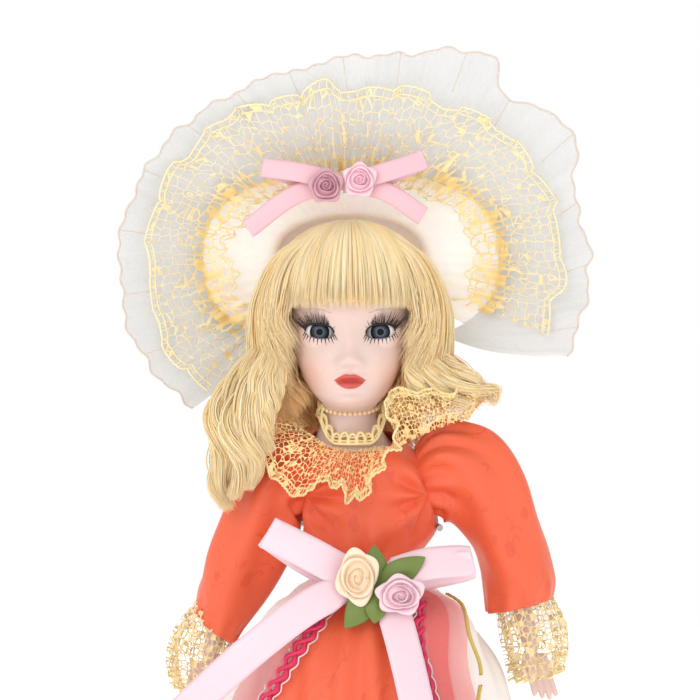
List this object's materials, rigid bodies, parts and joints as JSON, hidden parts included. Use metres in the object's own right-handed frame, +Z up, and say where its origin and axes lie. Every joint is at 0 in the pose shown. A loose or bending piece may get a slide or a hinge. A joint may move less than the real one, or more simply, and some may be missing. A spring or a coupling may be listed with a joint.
{
  "type": "porcelain doll",
  "caption": "Standing porcelain doll with glass eyes, blonde wig, gold-lace bonnet and a coral and cream gown, held by a waist clip on a round metal stand.",
  "frame": {"origin": "centre of the underside of the stand's base", "axes": "+Z up, the doll faces -Y, +X towards the doll's left hand"},
  "size_m": [0.1698, 0.171, 0.392],
  "materials": {
    "stand_white": "satin",
    "stand_wire": "satin",
    "bisque": "matt bisque, painted",
    "eye_glass": "polished",
    "plaster": "matt",
    "lash": "hair fibre",
    "cork": "matt",
    "hair": "glossy fibre",
    "cotton": "woven",
    "shoe": "satin",
    "taffeta": "jacquard taffeta",
    "cream_satin": "satin",
    "sheer": "sheer organza",
    "braid": "scalloped braid",
    "gold_cord": "twisted cord",
    "gold_lace": "openwork lace",
    "pearl": "pearlescent",
    "pink_satin": "satin ribbon",
    "cream_ribbon": "satin ribbon",
    "mauve_ribbon": "satin ribbon",
    "leaf": "satin ribbon",
    "organza": "stiff sheer organza"
  },
  "bodies": {
    "stand": {"stand_base": "stand_white", "stand_tube": "stand_white"},
    "arm_left": {"upper_arm_left": "cotton", "forearm_left": "bisque", "sleeve_left": "taffeta", "cuff_left": "gold_lace"},
    "arm_right": {"upper_arm_right": "cotton", "forearm_right": "bisque", "sleeve_right": "taffeta", "cuff_right": "gold_lace"},
    "leg_left": {"thigh_left": "cotton", "lower_leg_left": "bisque", "shoe_left": "shoe"},
    "leg_right": {"thigh_right": "cotton", "lower_leg_right": "bisque", "shoe_right": "shoe"},
    "bonnet": {"bonnet_brim": "organza", "bonnet_lace": "gold_lace", "bonnet_crown": "cream_satin", "bonnet_bow": "pink_satin", "rose_mauve": "mauve_ribbon", "rose_blush": "pink_satin"},
    "doll": {"bodice": "taffeta", "braid_left": "braid", "braid_right": "braid", "collar_lace": "gold_lace", "eye_left": "eye_glass", "eye_right": "eye_glass", "eye_setting_left": "plaster", "eye_setting_right": "plaster", "front_panel": "taffeta", "gold_cord_lower": "gold_cord", "gold_cord_upper": "gold_cord", "hair_back": "hair", "hair_crown": "hair", "hair_fringe": "hair", "hair_side_left": "hair", "hair_side_right": "hair", "head": "bisque", "lash_left": "lash", "lash_right": "lash", "leaves": "leaf", "necklace": "pearl", "neckline_lace": "gold_lace", "overskirt": "cream_satin", "pate": "cork", "petticoat": "cotton", "ringlets_left": "hair", "ringlets_right": "hair", "rose_cream": "cream_ribbon", "rose_pink": "pink_satin", "sheer_panel_left": "sheer", "sheer_panel_right": "sheer", "stand_rod": "stand_wire", "torso": "cotton", "waist_bow": "pink_satin", "waist_clip": "stand_wire"}
  },
  "joints": [
    {"name": "stand_height", "type": "slide", "parent": "stand", "child": "doll", "axis": [0, 0, 1], "range_m": [0, 0.03]},
    {"name": "bonnet_lift", "type": "slide", "parent": "doll", "child": "bonnet", "axis": [0, 1, 0], "range_m": [0, 0.08]},
    {"name": "shoulder_left", "type": "hinge", "parent": "doll", "child": "arm_left", "pos_m": [0.0248, 0, 0.26], "axis": [1, 0, 0], "range_deg": [-15, 30]},
    {"name": "shoulder_right", "type": "hinge", "parent": "doll", "child": "arm_right", "pos_m": [-0.0248, 0, 0.259], "axis": [1, 0, 0], "range_deg": [-15, 30]},
    {"name": "hip_left", "type": "hinge", "parent": "doll", "child": "leg_left", "pos_m": [0.014, 0, 0.19], "axis": [1, 0, 0], "range_deg": [-18, 8]},
    {"name": "hip_right", "type": "hinge", "parent": "doll", "child": "leg_right", "pos_m": [-0.014, 0, 0.19], "axis": [1, 0, 0], "range_deg": [-18, 8]}
  ]
}
